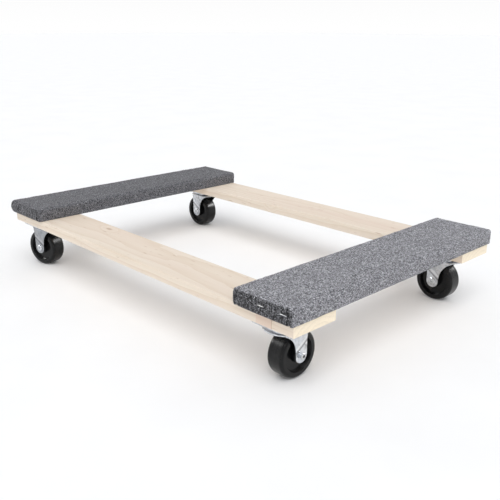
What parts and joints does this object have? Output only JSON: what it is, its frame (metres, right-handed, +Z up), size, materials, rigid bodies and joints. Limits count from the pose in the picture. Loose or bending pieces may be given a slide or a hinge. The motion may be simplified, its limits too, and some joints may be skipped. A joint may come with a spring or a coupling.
{
  "type": "furniture dolly",
  "caption": "Low rectangular furniture dolly: wood rails joined by carpet-covered end boards, on swivel casters with steel forks and hard black wheels.",
  "frame": {"origin": "on the floor under the middle of the deck", "axes": "+X along the rails, +Y across them, +Z up"},
  "size_m": [0.762, 0.5072, 0.1315],
  "materials": {
    "pine_rail": "bare planed softwood, matt",
    "board_wood": "bare planed softwood, matt",
    "grey_carpet": "heathered grey carpet with a short pile",
    "staple_wire": "bright galvanised wire",
    "screw_steel": "zinc plated, satin",
    "zinc_steel": "bright zinc-plated pressed steel",
    "ball_steel": "polished and greased",
    "rivet_steel": "bright zinc-plated steel",
    "black_wheel": "moulded hard black wheel, semi-gloss"
  },
  "bodies": {
    "root": {"front_rail": "pine_rail", "back_rail": "pine_rail", "left_board": "board_wood", "left_carpet": "grey_carpet", "left_staples": "staple_wire", "left_deck_screws": "screw_steel", "right_board": "board_wood", "right_carpet": "grey_carpet", "right_staples": "staple_wire", "right_deck_screws": "screw_steel", "left_front_plate": "zinc_steel", "left_front_upper_race": "zinc_steel", "left_front_kingpin": "zinc_steel", "left_front_lower_race": "zinc_steel", "left_front_plate_screws": "screw_steel", "left_back_plate": "zinc_steel", "left_back_upper_race": "zinc_steel", "left_back_kingpin": "zinc_steel", "left_back_lower_race": "zinc_steel", "left_back_plate_screws": "screw_steel", "right_front_plate": "zinc_steel", "right_front_upper_race": "zinc_steel", "right_front_kingpin": "zinc_steel", "right_front_lower_race": "zinc_steel", "right_front_plate_screws": "screw_steel", "right_back_plate": "zinc_steel", "right_back_upper_race": "zinc_steel", "right_back_kingpin": "zinc_steel", "right_back_lower_race": "zinc_steel", "right_back_plate_screws": "screw_steel"},
    "left_front_swivel": {"left_front_fork": "zinc_steel", "left_front_upper_balls": "ball_steel", "left_front_lower_balls": "ball_steel", "left_front_axle_sleeve": "ball_steel", "left_front_axle_rivet": "rivet_steel"},
    "left_front_roller": {"left_front_wheel": "black_wheel"},
    "left_back_swivel": {"left_back_fork": "zinc_steel", "left_back_upper_balls": "ball_steel", "left_back_lower_balls": "ball_steel", "left_back_axle_sleeve": "ball_steel", "left_back_axle_rivet": "rivet_steel"},
    "left_back_roller": {"left_back_wheel": "black_wheel"},
    "right_front_swivel": {"right_front_fork": "zinc_steel", "right_front_upper_balls": "ball_steel", "right_front_lower_balls": "ball_steel", "right_front_axle_sleeve": "ball_steel", "right_front_axle_rivet": "rivet_steel"},
    "right_front_roller": {"right_front_wheel": "black_wheel"},
    "right_back_swivel": {"right_back_fork": "zinc_steel", "right_back_upper_balls": "ball_steel", "right_back_lower_balls": "ball_steel", "right_back_axle_sleeve": "ball_steel", "right_back_axle_rivet": "rivet_steel"},
    "right_back_roller": {"right_back_wheel": "black_wheel"}
  },
  "joints": [
    {"name": "left_front_swivel_turn", "type": "hinge", "parent": "root", "child": "left_front_swivel", "pos_m": [-0.3274, -0.2064, 0.0793], "axis": [0, 0, 1], "continuous": true},
    {"name": "left_front_wheel_spin", "type": "hinge", "parent": "left_front_swivel", "child": "left_front_roller", "pos_m": [-0.33996, -0.20976, 0.0357], "axis": [-0.2588, 0.9659, 0], "continuous": true},
    {"name": "left_back_swivel_turn", "type": "hinge", "parent": "root", "child": "left_back_swivel", "pos_m": [-0.3274, 0.2064, 0.0793], "axis": [0, 0, 1], "continuous": true},
    {"name": "left_back_wheel_spin", "type": "hinge", "parent": "left_back_swivel", "child": "left_back_roller", "pos_m": [-0.34039, 0.20595, 0.0357], "axis": [-0.0349, 0.9994, 0], "continuous": true},
    {"name": "right_front_swivel_turn", "type": "hinge", "parent": "root", "child": "right_front_swivel", "pos_m": [0.3274, -0.2064, 0.0793], "axis": [0, 0, 1], "continuous": true},
    {"name": "right_front_wheel_spin", "type": "hinge", "parent": "right_front_swivel", "child": "right_front_roller", "pos_m": [0.3274, -0.1934, 0.0357], "axis": [1, 0, 0], "continuous": true},
    {"name": "right_back_swivel_turn", "type": "hinge", "parent": "root", "child": "right_back_swivel", "pos_m": [0.3274, 0.2064, 0.0793], "axis": [0, 0, 1], "continuous": true},
    {"name": "right_back_wheel_spin", "type": "hinge", "parent": "right_back_swivel", "child": "right_back_roller", "pos_m": [0.3144, 0.2064, 0.0357], "axis": [0, 1, 0], "continuous": true}
  ]
}
